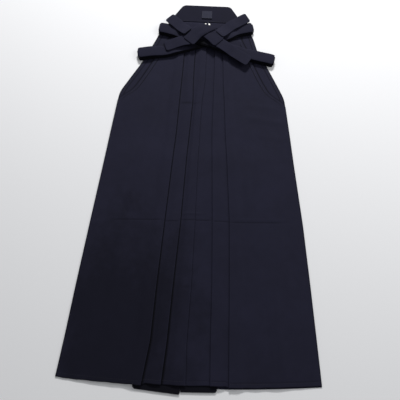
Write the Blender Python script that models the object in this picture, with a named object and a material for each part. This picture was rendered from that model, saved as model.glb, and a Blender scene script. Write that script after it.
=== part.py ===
"""Hakama trousers laid flat with the front up, the ties folded and knotted over the waist.

In the tables Y is 0 at the hem and grows towards the waist, X is the viewer's right and Z is up.
All lengths are metres. A row of a table is one section across the garment or along a tie.
"""

import math
from collections import namedtuple

import bmesh
import bpy
from mathutils import Vector
from mathutils.bvhtree import BVHTree

# Cloth and seams
CLOTH = 0.0012
LAYER_STEP = 0.0016
SEAM_GAP = 0.0003
REST_GAP = 0.0004

# Whole garment
LOWEST_Y = -0.0330
BOARD_BASE_Y = 1.0790
BOARD_TOP_Y = 1.1405
MIDDLE_Y = (LOWEST_Y + BOARD_TOP_Y) / 2
HALF_HEM = 0.34
HEM_BOW = 0.0145
HEM_TILT = 0.0125
HEM_REACH = 0.26
STRIP_LIFT = 0.004
BACK_PEEK = 0.0030

# Heights of the layers, at the middle of the cloth
BACK_Z = CLOTH / 2
FRONT_LOW_Z = CLOTH + SEAM_GAP + CLOTH / 2
INNER_BOTTOM_Z = CLOTH + SEAM_GAP
INNER_THICK = 0.0027
FRONT_HIGH_Z = INNER_BOTTOM_Z + INNER_THICK + SEAM_GAP + CLOTH / 2
INNER_TOP_Y = 0.575
CROTCH_Y = 0.600
CROTCH_EASE = 0.075

# Knife pleats
PLEAT_DEPTH = 0.55
CENTRE_DEPTH = 0.40
RAMP_NEAR = 0.0025
RAMP_RUN = 0.28

# Board, label and spatula
BOARD_HALF_BASE = 0.1185
BOARD_HALF_TOP = 0.0760
BOARD_THICK = 0.0045
BOARD_CORNER = 0.0090
BOARD_EDGE = 0.0012
LABEL_SIZE = (0.0330, 0.0280, 0.0006)
LABEL_AT = (0.0012, 1.1055)
LABEL_CORNER = 0.0010
LABEL_EDGE = 0.0002
SPATULA_SIZE = (0.0210, 0.0104, 0.0016)
SPATULA_AT = (0.0040, 1.0730)
SPATULA_CORNER = 0.0030
SPATULA_EDGE = 0.0004
STRAP_WIDTH = 0.0060
STRAP_THICK = 0.0008
STRAP_OVERHANG = 0.0050

# Ties
FRONT_TIE_WIDTH = 0.0340
BACK_TIE_WIDTH = 0.0350
KNOT_WIDTH = 0.0425
KNOT_SLANT = 0.0420
TIE_THICK = 0.0024
FOLD_GROOVE = 0.0009
TIE_CORNER = 0.17
TIE_SPACING = 0.55
EDGE_MARGIN = 0.03
TIE_LAYERS = 2
STACK_LAYERS = 5
BAND_HEIGHT = 0.0240
BAND_Y = 1.0010
BAND_INSET = 0.0040
BAND_THICK = 0.0014

CLOTH_COLOUR = (0.0145, 0.0148, 0.0260, 1)
INNER_COLOUR = (0.0100, 0.0100, 0.0180, 1)
PLASTIC_COLOUR = (0.80, 0.80, 0.78, 1)
LABEL_COLOUR = (0.020, 0.022, 0.040, 1)

Section = namedtuple("Section", "y left fold1 fold2 fold3 fold4 fold5 right crease")
FRONT_SECTIONS = (
    Section(0.000, -0.3400, -0.1212, -0.0708, -0.0078, 0.0569, 0.1046, 0.3400, 0.0),
    Section(0.100, -0.3290, -0.1060, -0.0626, -0.0108, 0.0540, 0.1023, 0.3310, 0.0),
    Section(0.240, -0.3155, -0.1000, -0.0558, -0.0064, 0.0522, 0.0993, 0.3180, 0.0),
    Section(0.395, -0.2995, -0.0916, -0.0466, -0.0052, 0.0472, 0.0955, 0.3025, 0.0),
    Section(0.418, -0.2972, -0.0902, -0.0458, -0.0052, 0.0465, 0.0942, 0.3000, 0.0008),
    Section(0.441, -0.2948, -0.0885, -0.0450, -0.0054, 0.0454, 0.0930, 0.2970, 0.0),
    Section(0.600, -0.2780, -0.0804, -0.0402, -0.0060, 0.0388, 0.0820, 0.2765, 0.0),
    Section(0.685, -0.2695, -0.0752, -0.0360, -0.0048, 0.0352, 0.0751, 0.2665, 0.0),
    Section(0.797, -0.2575, -0.0716, -0.0308, -0.0024, 0.0347, 0.0686, 0.2525, 0.0),
    Section(0.811, -0.2330, -0.0712, -0.0315, -0.0010, 0.0346, 0.0673, 0.2270, 0.0),
    Section(0.830, -0.2130, -0.0706, -0.0324, 0.0012, 0.0344, 0.0656, 0.2040, 0.0),
    Section(0.870, -0.1905, -0.0690, -0.0332, 0.0044, 0.0341, 0.0630, 0.1815, 0.0),
    Section(0.930, -0.1605, -0.0671, -0.0329, 0.0034, 0.0340, 0.0604, 0.1535, 0.0),
    Section(0.990, -0.1305, -0.0663, -0.0318, 0.0044, 0.0324, 0.0578, 0.1300, 0.0),
    Section(1.016, -0.1150, -0.0660, -0.0310, 0.0052, 0.0317, 0.0572, 0.1165, 0.0),
)

BackSection = namedtuple("BackSection", "y left right")
BACK_SECTIONS = (
    BackSection(0.000, -0.3400, 0.3400),
    BackSection(0.100, -0.3290, 0.3310),
    BackSection(0.240, -0.3155, 0.3180),
    BackSection(0.418, -0.2972, 0.3000),
    BackSection(0.600, -0.2780, 0.2765),
    BackSection(0.685, -0.2695, 0.2665),
    BackSection(0.800, -0.2572, 0.2520),
    BackSection(0.817, -0.2540, 0.2485),
    BackSection(0.850, -0.2360, 0.2330),
    BackSection(0.919, -0.1970, 0.1990),
    BackSection(0.978, -0.1700, 0.1665),
    BackSection(1.027, -0.1490, 0.1520),
    BackSection(1.060, -0.1290, 0.1330),
    BackSection(BOARD_BASE_Y - SEAM_GAP, -0.1170, 0.1190),
)

InnerSection = namedtuple("InnerSection", "y left right")
INNER_LEFT = (
    InnerSection(LOWEST_Y, -0.1360, -0.0230),
    InnerSection(-0.0270, -0.1420, -0.0200),
    InnerSection(0.0000, -0.1420, -0.0200),
    InnerSection(0.2400, -0.1180, -0.0190),
    InnerSection(INNER_TOP_Y, -0.0900, -0.0170),
)
INNER_RIGHT = (
    InnerSection(-0.0270, -0.0180, 0.0700),
    InnerSection(-0.0210, -0.0196, 0.0737),
    InnerSection(0.0000, -0.0196, 0.0737),
    InnerSection(0.2400, -0.0186, 0.0690),
    InnerSection(INNER_TOP_Y, -0.0166, 0.0600),
)

TieSection = namedtuple("TieSection", "x y thick")
FRONT_TIE_LEFT = (
    TieSection(-0.2115, 0.9470, 0.0160),
    TieSection(-0.1650, 0.9560, 0.0130),
    TieSection(-0.1190, 0.9630, 0.0095),
    TieSection(-0.0600, 0.9830, 0.0065),
    TieSection(0.0000, 1.0050, 0.0060),
    TieSection(0.0490, 1.0190, 0.0070),
    TieSection(0.0740, 1.0290, 0.0085),
    TieSection(0.1010, 1.0480, 0.0110),
    TieSection(0.1515, 1.0600, 0.0150),
)
FRONT_TIE_RIGHT = (
    TieSection(-0.1510, 1.0460, 0.0150),
    TieSection(-0.1185, 1.0415, 0.0125),
    TieSection(-0.0870, 1.0295, 0.0095),
    TieSection(-0.0450, 1.0140, 0.0065),
    TieSection(0.0000, 1.0035, 0.0060),
    TieSection(0.0550, 0.9835, 0.0070),
    TieSection(0.1100, 0.9670, 0.0095),
    TieSection(0.1550, 0.9570, 0.0125),
    TieSection(0.2160, 0.9440, 0.0160),
)
TIE_UPPER_LEFT = (
    TieSection(-0.1205, 1.0840, TIE_THICK),
    TieSection(-0.0880, 1.0530, TIE_THICK),
    TieSection(-0.0545, 1.0195, TIE_THICK),
)
TIE_TAIL_LEFT = (
    TieSection(-0.0320, 0.9990, TIE_THICK),
    TieSection(-0.0750, 0.9900, TIE_THICK),
    TieSection(-0.1260, 0.9725, TIE_THICK),
)
TIE_TAIL_RIGHT = (
    TieSection(0.0200, 1.0020, TIE_THICK),
    TieSection(0.0464, 0.9880, TIE_THICK),
    TieSection(0.0900, 0.9610, TIE_THICK),
    TieSection(0.1400, 0.9300, TIE_THICK),
)
KNOT_LEFT = (
    TieSection(-0.0540, 0.9865, TIE_THICK),
    TieSection(-0.0270, 1.0195, TIE_THICK),
    TieSection(0.0050, 1.0420, TIE_THICK),
    TieSection(0.0125, 1.0460, TIE_THICK),
)
TIE_UPPER_RIGHT = (
    TieSection(0.1335, 1.0930, TIE_THICK),
    TieSection(0.1030, 1.0740, TIE_THICK),
    TieSection(0.0740, 1.0520, TIE_THICK),
    TieSection(0.0420, 1.0160, TIE_THICK),
)
KNOT_RIGHT = (
    TieSection(-0.0110, 1.0360, TIE_THICK),
    TieSection(0.0145, 1.0175, TIE_THICK),
    TieSection(0.0450, 0.9880, TIE_THICK),
)

laid = {}


def clear_scene():
    for old in list(bpy.data.objects):
        bpy.data.objects.remove(old, do_unlink=True)


def material(name, colour, roughness, metallic=0.0):
    made = bpy.data.materials.new(name)
    made.use_nodes = True
    shader = made.node_tree.nodes["Principled BSDF"]
    shader.inputs["Base Color"].default_value = colour
    shader.inputs["Roughness"].default_value = roughness
    shader.inputs["Metallic"].default_value = metallic
    made.diffuse_color = colour
    return made


def add_piece(name, bm, colour, roughness):
    """Turn a closed bmesh in table coordinates into a named object centred on the origin."""
    bmesh.ops.translate(bm, verts=bm.verts, vec=(0, -MIDDLE_Y, 0))
    bmesh.ops.recalc_face_normals(bm, faces=bm.faces)
    laid[name] = BVHTree.FromBMesh(bm)
    mesh = bpy.data.meshes.new(name)
    bm.to_mesh(mesh)
    bm.free()
    mesh.shade_smooth()
    mesh.set_sharp_from_angle(angle=math.radians(35))
    mesh.materials.append(material(name, colour, roughness))
    piece = bpy.data.objects.new(name, mesh)
    bpy.context.scene.collection.objects.link(piece)
    return piece


def mixed(low, high, share):
    return low + (high - low) * share


def eased(share):
    share = min(max(share, 0.0), 1.0)
    return share * share * (3 - 2 * share)


def hem_shift(x, y):
    """How far the bowed, slightly tilted hem moves a point, fading out up the leg."""
    fade = 1 - eased(y / HEM_REACH)
    return fade * (HEM_TILT * x - HEM_BOW * (1 - (x / HALF_HEM) ** 2))


def bed_height(y):
    """Middle of the front's lowest layer, which drops once the inner legs end at the crotch."""
    return mixed(FRONT_HIGH_Z, FRONT_LOW_Z, eased((y - CROTCH_Y) / CROTCH_EASE))


def mitred(points, distance):
    """A polyline in X and Z moved sideways by a distance, with mitred corners."""
    moved = []
    for index, point in enumerate(points):
        normals = []
        for start, end in ((index - 1, index), (index, index + 1)):
            if start >= 0 and end < len(points):
                along = (points[end] - points[start]).normalized()
                normals.append(Vector((-along.y, along.x)))
        middle = sum(normals, Vector((0, 0))).normalized()
        moved.append(point + middle * distance / max(middle.dot(normals[0]), 0.4))
    return moved


def closed_wall(upper, lower):
    """A closed bmesh between two grids of points with equal rows and columns."""
    bm = bmesh.new()
    top = [[bm.verts.new(point) for point in row] for row in upper]
    bottom = [[bm.verts.new(point) for point in row] for row in lower]
    rows, columns = len(top), len(top[0])
    for j in range(rows - 1):
        for i in range(columns - 1):
            bm.faces.new((top[j][i], top[j][i + 1], top[j + 1][i + 1], top[j + 1][i]))
            bm.faces.new((bottom[j + 1][i], bottom[j + 1][i + 1], bottom[j][i + 1], bottom[j][i]))
    for j in range(rows - 1):
        for i in (0, columns - 1):
            bm.faces.new((top[j][i], top[j + 1][i], bottom[j + 1][i], bottom[j][i]))
    for i in range(columns - 1):
        for j in (0, rows - 1):
            bm.faces.new((top[j][i + 1], top[j][i], bottom[j][i], bottom[j][i + 1]))
    return bm


def cloth_wall(lines, extra_drop=None):
    """A cloth wall through (y, centre line) sections; a centre line is points in X and Z."""
    upper, lower = [], []
    for y, points in lines:
        drops = [extra_drop(point.x, y) if extra_drop else 0.0 for point in points]
        for grid, side in ((upper, CLOTH / 2), (lower, -CLOTH / 2)):
            moved = mitred(points, side)
            grid.append([Vector((p.x, y + drop, p.y)) for p, drop in zip(moved, drops)])
    return closed_wall(upper, lower)


def ramp_length(fold, neighbour):
    """How far outside a pleat's depth the next strip comes down onto the lowest layer."""
    return RAMP_NEAR + abs(neighbour - fold) * RAMP_RUN


def knife_pleat(fold, neighbour, bed, outward):
    """Centre line of one pleat, from the outer side to the strip that runs on under it.

    outward is -1 on the left front and 1 on the right. The fold's edge faces the middle.
    """
    depth = fold - (neighbour - fold) * PLEAT_DEPTH
    turn = LAYER_STEP / 2
    return [
        Vector((depth + outward * ramp_length(fold, neighbour), bed)),
        Vector((depth + outward * RAMP_NEAR, bed + 2 * LAYER_STEP)),
        Vector((fold, bed + 2 * LAYER_STEP)),
        Vector((fold - outward * turn, bed + 1.5 * LAYER_STEP)),
        Vector((fold, bed + LAYER_STEP)),
        Vector((depth, bed + LAYER_STEP)),
        Vector((depth + outward * turn, bed + LAYER_STEP / 2)),
        Vector((depth, bed)),
    ]


def outer_panel(side, ramp_x, bed):
    """Centre line from the side edge to the first pleat, sinking to the back at the edge."""
    points = []
    for share in (0.0, 0.06, 0.30, 0.65):
        height = mixed(FRONT_LOW_Z, bed, eased(share * 1.3))
        points.append(Vector((mixed(side, ramp_x, share), height)))
    return points


def pleated_side(row, folds, side, outward):
    """Centre line of the outer panel and its pleats; folds run from the side to the middle."""
    bed = bed_height(row.y)
    pleats = []
    for index in range(len(folds) - 1):
        pleats += knife_pleat(folds[index], folds[index + 1], bed, outward)
    points = outer_panel(side, pleats[0].x, bed) + pleats
    return [Vector((p.x, p.y + row.crease)) for p in points]


def front_left(row):
    folds = (row.fold1, row.fold2, row.fold3, row.fold4)
    points = pleated_side(row, folds, row.left, -1)
    end = mixed(row.fold4, row.fold5, CENTRE_DEPTH)
    points.append(Vector((mixed(points[-1].x, end, 0.5), points[-1].y)))
    points.append(Vector((end, points[-1].y)))
    return row.y, points


def front_right(row):
    folds = (row.fold5, row.fold4)
    points = pleated_side(row, folds, row.right, 1)
    bed = bed_height(row.y) + row.crease
    points = points[:-1]
    points[-1] = Vector((points[-1].x - LAYER_STEP / 2, bed))
    inner_depth = mixed(row.fold4, row.fold5, CENTRE_DEPTH)
    points.append(Vector((inner_depth + ramp_length(row.fold4, row.fold5), bed)))
    points.append(Vector((inner_depth + RAMP_NEAR, bed + 2 * LAYER_STEP)))
    points.append(Vector((row.fold4, bed + 2 * LAYER_STEP)))
    points.append(Vector((row.fold4 - LAYER_STEP / 2, bed + 1.5 * LAYER_STEP)))
    points.append(Vector((row.fold4, bed + LAYER_STEP)))
    points.append(Vector((inner_depth, bed + LAYER_STEP)))
    return row.y, points


def front_drop(x, y):
    """The hem's shift of the front, where the pleated strips ride a little higher."""
    first = FRONT_SECTIONS[0]
    inside = first.fold1 < x < first.fold5
    lift = STRIP_LIFT * (1 - eased(y / HEM_REACH)) if inside else 0.0
    return hem_shift(x, y) + lift


def back_drop(x, y):
    return hem_shift(x, y) - BACK_PEEK * (1 - eased(y / HEM_REACH)) * eased(x / 0.1)


def make_fronts():
    for name, section in (("front_leg_left", front_left), ("front_leg_right", front_right)):
        lines = [section(row) for row in FRONT_SECTIONS]
        add_piece(name, cloth_wall(lines, front_drop), CLOTH_COLOUR, 0.9)


def make_backs():
    for name, side in (("back_leg_left", -1), ("back_leg_right", 1)):
        lines = []
        for row in BACK_SECTIONS:
            edge = row.left if side < 0 else row.right
            seam = side * SEAM_GAP / 2
            shares = (0.0, 0.25, 0.5, 0.75, 1.0)
            points = [Vector((mixed(edge, seam, share), BACK_Z)) for share in shares]
            lines.append((row.y, points))
        add_piece(name, cloth_wall(lines, back_drop), CLOTH_COLOUR, 0.9)


def layered_rings(outline_at, levels):
    """A closed bmesh through one outline per level, capped by rungs between its two sides."""
    bm = bmesh.new()
    rings = []
    for level in levels:
        rings.append([bm.verts.new(point) for point in outline_at(level)])
    count = len(rings[0])
    for low, high in zip(rings, rings[1:]):
        for i in range(count):
            j = (i + 1) % count
            bm.faces.new((low[i], low[j], high[j], high[i]))
    half = count // 2
    for ring in (rings[0], rings[-1]):
        for i in range(half - 1):
            bm.faces.new((ring[i], ring[i + 1], ring[count - 2 - i], ring[count - 1 - i]))
    return bm


def fold_levels(layers):
    """(height share, inset) of each ring: an outline drawn in between every two layers."""
    count = 2 * layers
    return [(k / count, FOLD_GROOVE if k % 2 == 0 else 0.0) for k in range(count + 1)]


def make_inner_legs():
    """The folded cloth between the legs, which shows below the hem."""
    for name, rows in (("inner_leg_left", INNER_LEFT), ("inner_leg_right", INNER_RIGHT)):

        def outline(level, rows=rows):
            share, inset = level
            height = INNER_BOTTOM_Z + share * INNER_THICK
            near, far = [], []
            for index, row in enumerate(rows):
                shift = inset if index == 0 else -inset if index == len(rows) - 1 else 0.0
                near.append(Vector((row.right - inset, row.y + shift, height)))
                far.append(Vector((row.left + inset, row.y + shift, height)))
            return near + far[::-1]

        bm = layered_rings(outline, fold_levels(2))
        add_piece(name, bm, INNER_COLOUR, 0.9)


def smooth_path(rows, spacing, corner):
    """Points every spacing along a smooth curve through the rows, as (x, y, thick).

    One more point stands a corner's length from each end.
    """
    knots = [Vector(row) for row in rows]
    knots = [2 * knots[0] - knots[1]] + knots + [2 * knots[-1] - knots[-2]]
    dense = []
    steps = 24
    for a, b, c, d in zip(knots, knots[1:], knots[2:], knots[3:]):
        for step in range(steps):
            t = step / steps
            bend = 2 * a - 5 * b + 4 * c - d
            twist = 3 * b - a - 3 * c + d
            dense.append(0.5 * (2 * b + (c - a) * t + bend * t * t + twist * t ** 3))
    dense.append(knots[-2])
    lengths = [0.0]
    for start, end in zip(dense, dense[1:]):
        lengths.append(lengths[-1] + (end.xy - start.xy).length)
    count = max(2, round(lengths[-1] / spacing))
    marks = [lengths[-1] * k / count for k in range(count + 1)]
    marks[1:1] = [corner]
    marks[-1:-1] = [lengths[-1] - corner]
    path, at = [], 0
    for mark in marks:
        while at < len(lengths) - 2 and lengths[at + 1] < mark:
            at += 1
        share = (mark - lengths[at]) / (lengths[at + 1] - lengths[at])
        path.append(dense[at].lerp(dense[at + 1], share))
    return path


def highest(x, y, below):
    """Height of the top of the listed pieces over a point in table coordinates; 0 is the floor."""
    start = Vector((x, y - MIDDLE_Y, 1.0))
    hits = [laid[name].ray_cast(start, Vector((0, 0, -1)))[0] for name in below]
    return max([0.0] + [hit.z for hit in hits if hit is not None])


def band_edges(path, width, slant):
    """Tangent, left point and right point of each section; a slant runs the last right side ahead."""
    total = sum((b.xy - a.xy).length for a, b in zip(path, path[1:]))
    sections, run = [], 0.0
    for index, point in enumerate(path):
        start, end = path[max(index - 1, 0)], path[min(index + 1, len(path) - 1)]
        if index:
            run += (point.xy - path[index - 1].xy).length
        along = (end.xy - start.xy).normalized()
        across = Vector((-along.y, along.x)) * width / 2
        lead = along * slant / 2 * eased(1 - (total - run) / width)
        sections.append((along, point.xy + across - lead, point.xy - across + lead))
    return sections


def spots_between(sections, first, second):
    """(share of the way, point in plan) all over the stretch between two sections."""
    for share in (0.0, 0.25, 0.5, 0.75, 1.0):
        left = sections[first][1].lerp(sections[second][1], share)
        right = sections[first][2].lerp(sections[second][2], share)
        for across in (-EDGE_MARGIN, *(k / 8 for k in range(9)), 1 + EDGE_MARGIN):
            yield share, left.lerp(right, across)


def resting_heights(path, sections, below, slope):
    """Underside height of each section, clear of what lies below and bending no more than slope."""
    heights = []
    for index in range(len(path)):
        found = 0.0
        for other in (max(index - 1, 0), min(index + 1, len(path) - 1)):
            for _, spot in spots_between(sections, index, other):
                found = max(found, highest(spot.x, spot.y, below))
        heights.append(found + REST_GAP if found > 0 else 0.0)
    eased_heights = []
    for index, point in enumerate(path):
        best = heights[index]
        for other, height in zip(path, heights):
            best = max(best, height - slope * (point.xy - other.xy).length)
        eased_heights.append(best)
    slack = 1.0
    for index in range(len(path) - 1):
        for share, spot in spots_between(sections, index, index + 1):
            height = mixed(eased_heights[index], eased_heights[index + 1], share)
            slack = min(slack, height - highest(spot.x, spot.y, below))
    drop = max(slack - REST_GAP, 0.0)
    return [height - drop for height in eased_heights]


def lay_band(name, rows, width, layers, below, slope=0.45, slant=0.0):
    """A tie laid in plan along its rows, on top of the pieces listed below."""
    corner = width * TIE_CORNER
    path = smooth_path(rows, width * TIE_SPACING, corner)
    sections = band_edges(path, width, slant)
    base = resting_heights(path, sections, below, slope)

    def outline(level):
        share, inset = level
        left, right = [], []
        for index, point in enumerate(path):
            along, left_edge, right_edge = sections[index]
            at_end = index in (0, len(path) - 1)
            cut = (inset + (corner * 0.6 if at_end else 0.0)) / width
            pull = inset if index == 0 else -inset if index == len(path) - 1 else 0.0
            height = base[index] + share * point.z
            for grid, near, far in ((left, left_edge, right_edge), (right, right_edge, left_edge)):
                spot = near.lerp(far, cut) + along * pull
                grid.append(Vector((spot.x, spot.y, height)))
        return right + left[::-1]

    bm = layered_rings(outline, fold_levels(layers))
    return add_piece(name, bm, CLOTH_COLOUR, 0.9)


def make_waistband():
    first = FRONT_SECTIONS[-1].left + BAND_INSET
    last = FRONT_SECTIONS[-1].right - BAND_INSET
    rows = [TieSection(mixed(first, last, k / 4), BAND_Y, BAND_THICK) for k in range(5)]
    below = ("front_leg_left", "front_leg_right", "back_leg_left", "back_leg_right")
    lay_band("front_waistband", rows, BAND_HEIGHT, 2, below, slope=0.2)


def rounded_plate(corners, thick, bottom, corner_radius, edge_radius):
    """A closed plate over the corners, its corners rounded and its top and bottom edges softened."""
    bm = bmesh.new()
    face = bm.faces.new([bm.verts.new((x, y, bottom)) for x, y in corners])
    made = bmesh.ops.extrude_face_region(bm, geom=[face])
    raised = [item for item in made["geom"] if isinstance(item, bmesh.types.BMVert)]
    bmesh.ops.translate(bm, verts=raised, vec=(0, 0, thick))
    upright = [e for e in bm.edges if abs(e.verts[0].co.z - e.verts[1].co.z) > thick / 2]
    bmesh.ops.bevel(
        bm, geom=upright, offset=corner_radius, segments=4, profile=0.5,
        affect="EDGES", material=-1,
    )
    bmesh.ops.recalc_face_normals(bm, faces=bm.faces)
    rims = [e for e in bm.edges if abs(e.verts[0].co.z - e.verts[1].co.z) < 1e-6]
    bmesh.ops.bevel(
        bm, geom=rims, offset=edge_radius, segments=2, profile=0.5,
        affect="EDGES", material=-1,
    )
    return bm


def make_board():
    corners = (
        (-BOARD_HALF_BASE, BOARD_BASE_Y),
        (BOARD_HALF_BASE, BOARD_BASE_Y),
        (BOARD_HALF_TOP, BOARD_TOP_Y),
        (-BOARD_HALF_TOP, BOARD_TOP_Y),
    )
    bm = rounded_plate(corners, BOARD_THICK, 0.0, BOARD_CORNER, BOARD_EDGE)
    add_piece("back_board", bm, CLOTH_COLOUR, 0.85)


def centred_corners(centre, size):
    (x, y), (wide, high) = centre, size[:2]
    half_wide, half_high = wide / 2, high / 2
    return (
        (x - half_wide, y - half_high),
        (x + half_wide, y - half_high),
        (x + half_wide, y + half_high),
        (x - half_wide, y + half_high),
    )


def make_label():
    bottom = BOARD_THICK + SEAM_GAP
    corners = centred_corners(LABEL_AT, LABEL_SIZE)
    bm = rounded_plate(corners, LABEL_SIZE[2], bottom, LABEL_CORNER, LABEL_EDGE)
    add_piece("board_label", bm, LABEL_COLOUR, 0.6)


def make_spatula():
    bottom = CLOTH + SEAM_GAP
    corners = centred_corners(SPATULA_AT, SPATULA_SIZE)
    bm = rounded_plate(corners, SPATULA_SIZE[2], bottom, SPATULA_CORNER, SPATULA_EDGE)
    add_piece("spatula", bm, PLASTIC_COLOUR, 0.35)
    x, y = SPATULA_AT
    reach = SPATULA_SIZE[1] / 2 + STRAP_OVERHANG
    top = BOARD_BASE_Y - 2 * SEAM_GAP
    rows = [TieSection(x, mixed(top, y - reach, k / 4), STRAP_THICK) for k in range(5)]
    below = ("spatula", "back_leg_left", "back_leg_right")
    lay_band("spatula_strap", rows, STRAP_WIDTH, 1, below, slope=0.9)


def make_ties():
    """The ties from the lowest up: each one lies on all that were laid before it."""
    stretches = (
        ("front_tie_left", FRONT_TIE_LEFT, FRONT_TIE_WIDTH, STACK_LAYERS),
        ("front_tie_right", FRONT_TIE_RIGHT, FRONT_TIE_WIDTH, STACK_LAYERS),
        ("tie_tail_left", TIE_TAIL_LEFT, BACK_TIE_WIDTH, TIE_LAYERS),
        ("tie_tail_right", TIE_TAIL_RIGHT, BACK_TIE_WIDTH, TIE_LAYERS),
        ("knot_right", KNOT_RIGHT, KNOT_WIDTH, TIE_LAYERS),
        ("tie_upper_right", TIE_UPPER_RIGHT, BACK_TIE_WIDTH, TIE_LAYERS),
        ("knot_left", KNOT_LEFT, KNOT_WIDTH, TIE_LAYERS),
        ("tie_upper_left", TIE_UPPER_LEFT, BACK_TIE_WIDTH, TIE_LAYERS),
    )
    for name, rows, width, layers in stretches:
        slant = KNOT_SLANT if name == "knot_left" else 0.0
        lay_band(name, rows, width, layers, tuple(laid), slant=slant)


def main():
    clear_scene()
    make_backs()
    make_inner_legs()
    make_fronts()
    make_waistband()
    make_board()
    make_label()
    make_spatula()
    make_ties()
    whole = bpy.data.objects.new("hakama", None)
    bpy.context.scene.collection.objects.link(whole)
    for name in laid:
        bpy.data.objects[name].parent = whole


main()
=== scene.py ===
"""The looks of a pair of pleated hakama trousers that lie flat, front up, with their ties knotted.

In the tables Y is 0 at the hem and grows towards the waist, X is the viewer's right and Z is up.
All lengths are metres. Every piece is made where its solid lies, on the same sections.
"""

import math
from collections import namedtuple

import bmesh
import bpy
from mathutils import Matrix, Vector, noise
from mathutils.bvhtree import BVHTree


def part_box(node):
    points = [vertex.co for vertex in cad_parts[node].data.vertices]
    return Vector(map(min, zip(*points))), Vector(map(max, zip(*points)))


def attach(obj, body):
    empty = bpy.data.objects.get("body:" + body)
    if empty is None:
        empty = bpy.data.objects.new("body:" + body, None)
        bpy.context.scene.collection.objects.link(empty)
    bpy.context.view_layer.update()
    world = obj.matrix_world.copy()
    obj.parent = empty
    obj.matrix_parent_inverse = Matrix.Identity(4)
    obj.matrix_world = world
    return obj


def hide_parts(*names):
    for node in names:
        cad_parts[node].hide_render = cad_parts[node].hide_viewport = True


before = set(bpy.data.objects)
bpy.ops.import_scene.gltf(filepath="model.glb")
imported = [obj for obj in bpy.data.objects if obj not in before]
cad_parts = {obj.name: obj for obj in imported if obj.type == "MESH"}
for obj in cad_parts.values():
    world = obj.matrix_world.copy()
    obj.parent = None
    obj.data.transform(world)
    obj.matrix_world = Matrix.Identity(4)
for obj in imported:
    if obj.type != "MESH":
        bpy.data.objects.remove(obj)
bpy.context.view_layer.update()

bl_info = {
    "name": "Hakama trousers",
    "version": (1, 0, 0),
    "blender": (4, 5, 0),
    "location": "3D View > Sidebar > Hakama",
    "description": "Makes pleated hakama trousers, laid flat with knotted ties",
    "category": "Add Mesh",
}

# The garment's own sections, as its solids have them
BOARD_BASE_Y = 1.0790
BOARD_TOP_Y = 1.1405
MIDDLE_Y = BOARD_TOP_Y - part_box("back_board")[1].y
HALF_HEM = 0.34
HEM_BOW = 0.0145
HEM_TILT = 0.0125
HEM_REACH = 0.26
STRIP_LIFT = 0.004
BACK_PEEK = 0.0030
LAYER_STEP = 0.0016
FOLD_SWELL = 0.0005
CREVICE = 0.0022
SHARP_SPREAD = 0.003
PRESSED_HALF = 0.0013
FRONT_LOW_Z = 0.0021
FRONT_HIGH_Z = 0.0051
CROTCH_Y = 0.600
CROTCH_EASE = 0.075
PLEAT_DEPTH = 0.32
CENTRE_DEPTH = 0.40
RAMP_NEAR = 0.0025
RAMP_RUN = 0.55
BOARD_HALF_BASE = 0.1185
BOARD_HALF_TOP = 0.0760
FRONT_TOP_Y = 1.016
TIE_CORNER = 0.17
BUNDLE_CORNER = 0.32
SEAM_HALF = 0.00015
BOARD_CORNER = 0.009
BASE_FALL = 0.0030
BASE_FALL_RUN = 0.050
BUNDLE_LEAN = 0.0009
KNOT_SWELL = 0.0013
SPATULA_DROP = 0.0030
OPENING_Y = 0.780
OPENING_EASE = 0.03
EDGE_HALF = 0.0022
HEM_STEP = 0.0022

# Where the knot presses the bundles of the front ties down, and shade is painted on them there: middle x,
# half width and share
PRESSED_DOWN = (-0.012, 0.062, 0.55)

# Where shade is painted onto the fronts, darker towards the lower left: middle x and y on the floor, half
# sizes and share
PAINTED_SHADE_PATCH = (-0.20, -0.44, 0.21, 0.30, 0.62)

# How finely the cloth is cut
FRONT_LEVELS = ((0.036, 20), (0.395, 50), (0.445, 36), (0.780, 44), (FRONT_TOP_Y, 40))
BACK_LEVELS = ((0.036, 20), (0.780, 56), (BOARD_BASE_Y - 0.0003, 70))
OUTER_COLUMNS = 62
BACK_COLUMNS = 90
BAND_COLUMNS = 14
STATION_STEP = 0.005

# Fine lines that the knot pulls across the inner back: x from, x to, y
PULLED_LINES = (
    (-0.075, -0.042, 1.0640), (-0.070, -0.030, 1.0590), (0.020, 0.062, 1.0610), (-0.060, 0.000, 1.0700),
)

Section = namedtuple("Section", "y left fold1 fold2 fold3 fold4 fold5 right")
FRONT_SECTIONS = tuple(Section(*row) for row in (
    (0.000, -0.3400, -0.1212, -0.0708, -0.0078, 0.0569, 0.1046, 0.3400),
    (0.100, -0.3290, -0.1060, -0.0626, -0.0108, 0.0540, 0.1023, 0.3310),
    (0.240, -0.3155, -0.1000, -0.0558, -0.0064, 0.0522, 0.0993, 0.3180),
    (0.418, -0.2972, -0.0902, -0.0458, -0.0052, 0.0465, 0.0942, 0.3000),
    (0.600, -0.2780, -0.0804, -0.0402, -0.0060, 0.0388, 0.0820, 0.2765),
    (0.685, -0.2695, -0.0752, -0.0360, -0.0048, 0.0352, 0.0751, 0.2665),
    (0.797, -0.2575, -0.0716, -0.0308, -0.0024, 0.0347, 0.0686, 0.2525),
    (0.811, -0.2330, -0.0712, -0.0315, -0.0010, 0.0346, 0.0673, 0.2270),
    (0.830, -0.2130, -0.0706, -0.0324, 0.0012, 0.0344, 0.0656, 0.2040),
    (0.870, -0.1905, -0.0690, -0.0332, 0.0044, 0.0341, 0.0630, 0.1815),
    (0.930, -0.1605, -0.0671, -0.0329, 0.0034, 0.0340, 0.0604, 0.1535),
    (0.990, -0.1305, -0.0663, -0.0318, 0.0044, 0.0324, 0.0578, 0.1300),
    (FRONT_TOP_Y, -0.1150, -0.0660, -0.0310, 0.0052, 0.0317, 0.0572, 0.1165),
))

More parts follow.
